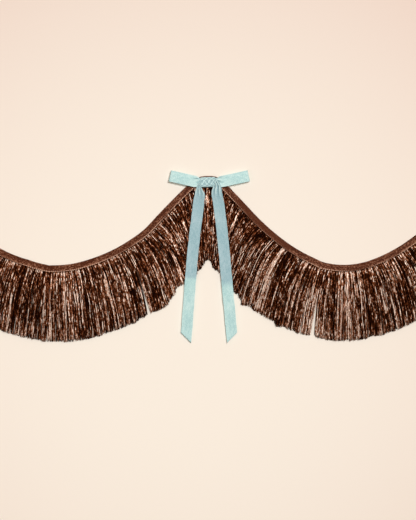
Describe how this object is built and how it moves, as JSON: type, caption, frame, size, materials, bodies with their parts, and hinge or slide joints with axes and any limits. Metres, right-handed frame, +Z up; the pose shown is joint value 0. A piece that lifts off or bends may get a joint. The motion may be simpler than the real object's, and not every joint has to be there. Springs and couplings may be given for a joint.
{
  "type": "fringe bow banner",
  "caption": "Wall banner of slit metallic foil fringe hung in two swags from a folded tape, with a long-tailed ribbon bow at the crest.",
  "frame": {"origin": "on the flat back face of the tape at the crest, at the middle of the tape's height, where the banner is fixed to the wall", "axes": "+X along the banner to the viewer's right, +Y into the wall, +Z up"},
  "size_m": [1.3633, 0.0139, 0.3754],
  "materials": {
    "tape": "chocolate brown woven satin tape, folded and pressed",
    "foil": "crinkled metallised brown plastic film, slit into narrow strands",
    "ribbon": "pale aqua velvet ribbon, short pile, soft sheen",
    "glue": "clear soft adhesive dot"
  },
  "bodies": {
    "root": {"header_tape": "tape", "foil_root": "foil", "adhesive_dot": "glue", "bow_knot": "ribbon", "fringe_left_01": "foil", "fringe_left_02": "foil", "fringe_left_03": "foil", "fringe_right_01": "foil", "fringe_right_02": "foil", "fringe_right_03": "foil"},
    "fringe_left_04_body": {"fringe_left_04": "foil"},
    "fringe_left_05_body": {"fringe_left_05": "foil"},
    "fringe_left_06_body": {"fringe_left_06": "foil"},
    "fringe_left_07_body": {"fringe_left_07": "foil"},
    "fringe_left_08_body": {"fringe_left_08": "foil"},
    "fringe_left_09_body": {"fringe_left_09": "foil"},
    "fringe_left_10_body": {"fringe_left_10": "foil"},
    "fringe_right_04_body": {"fringe_right_04": "foil"},
    "fringe_right_05_body": {"fringe_right_05": "foil"},
    "fringe_right_06_body": {"fringe_right_06": "foil"},
    "fringe_right_07_body": {"fringe_right_07": "foil"},
    "fringe_right_08_body": {"fringe_right_08": "foil"},
    "fringe_right_09_body": {"fringe_right_09": "foil"},
    "bow_loop_left_body": {"bow_loop_left": "ribbon"},
    "bow_loop_right_body": {"bow_loop_right": "ribbon"},
    "ribbon_tail_left_body": {"ribbon_tail_left": "ribbon"},
    "ribbon_tail_right_body": {"ribbon_tail_right": "ribbon"}
  },
  "joints": [
    {"name": "fringe_left_04_swing", "type": "hinge", "parent": "root", "child": "fringe_left_04_body", "pos_m": [-0.19876, -0.0017, -0.16479], "axis": [-0.8907, 0, -0.4547], "range_deg": [0, 25]},
    {"name": "fringe_left_05_swing", "type": "hinge", "parent": "root", "child": "fringe_left_05_body", "pos_m": [-0.27188, -0.0017, -0.1933], "axis": [-0.9642, 0, -0.2651], "range_deg": [0, 25]},
    {"name": "fringe_left_06_swing", "type": "hinge", "parent": "root", "child": "fringe_left_06_body", "pos_m": [-0.3523, -0.0017, -0.20058], "axis": [-0.9936, 0, 0.1131], "range_deg": [0, 25]},
    {"name": "fringe_left_07_swing", "type": "hinge", "parent": "root", "child": "fringe_left_07_body", "pos_m": [-0.4289, -0.0017, -0.17871], "axis": [-0.9187, 0, 0.395], "range_deg": [0, 25]},
    {"name": "fringe_left_08_swing", "type": "hinge", "parent": "root", "child": "fringe_left_08_body", "pos_m": [-0.49719, -0.0017, -0.14023], "axis": [-0.8234, 0, 0.5675], "range_deg": [0, 25]},
    {"name": "fringe_left_09_swing", "type": "hinge", "parent": "root", "child": "fringe_left_09_body", "pos_m": [-0.554, -0.0017, -0.08565], "axis": [-0.6672, 0, 0.7449], "range_deg": [0, 25]},
    {"name": "fringe_left_10_swing", "type": "hinge", "parent": "root", "child": "fringe_left_10_body", "pos_m": [-0.6051, -0.0017, -0.03124], "axis": [-0.7138, 0, 0.7004], "range_deg": [0, 25]},
    {"name": "fringe_right_04_swing", "type": "hinge", "parent": "root", "child": "fringe_right_04_body", "pos_m": [0.2085, -0.0017, -0.1777], "axis": [-0.8953, 0, 0.4454], "range_deg": [0, 25]},
    {"name": "fringe_right_05_swing", "type": "hinge", "parent": "root", "child": "fringe_right_05_body", "pos_m": [0.2907, -0.0017, -0.20134], "axis": [-0.9996, 0, 0.0281], "range_deg": [0, 25]},
    {"name": "fringe_right_06_swing", "type": "hinge", "parent": "root", "child": "fringe_right_06_body", "pos_m": [0.37438, -0.0017, -0.18366], "axis": [-0.9185, 0, -0.3954], "range_deg": [0, 25]},
    {"name": "fringe_right_07_swing", "type": "hinge", "parent": "root", "child": "fringe_right_07_body", "pos_m": [0.4464, -0.0017, -0.14247], "axis": [-0.8108, 0, -0.5854], "range_deg": [0, 25]},
    {"name": "fringe_right_08_swing", "type": "hinge", "parent": "root", "child": "fringe_right_08_body", "pos_m": [0.50915, -0.0017, -0.08947], "axis": [-0.7094, 0, -0.7048], "range_deg": [0, 25]},
    {"name": "fringe_right_09_swing", "type": "hinge", "parent": "root", "child": "fringe_right_09_body", "pos_m": [0.56523, -0.0017, -0.03271], "axis": [-0.7151, 0, -0.6991], "range_deg": [0, 25]},
    {"name": "bow_loop_left_tilt", "type": "hinge", "parent": "root", "child": "bow_loop_left_body", "pos_m": [-0.019, -0.0092, -0.0078], "axis": [0, 1, 0], "range_deg": [-8, 8]},
    {"name": "bow_loop_right_tilt", "type": "hinge", "parent": "root", "child": "bow_loop_right_body", "pos_m": [0.019, -0.0092, -0.0078], "axis": [0, -1, 0], "range_deg": [-8, 8]},
    {"name": "ribbon_tail_left_lift", "type": "hinge", "parent": "root", "child": "ribbon_tail_left_body", "pos_m": [-0.0195, -0.0095, -0.0179], "axis": [-1, 0, 0], "range_deg": [0, 70]},
    {"name": "ribbon_tail_right_lift", "type": "hinge", "parent": "root", "child": "ribbon_tail_right_body", "pos_m": [0.0195, -0.0095, -0.0179], "axis": [-1, 0, 0], "range_deg": [0, 70]}
  ]
}
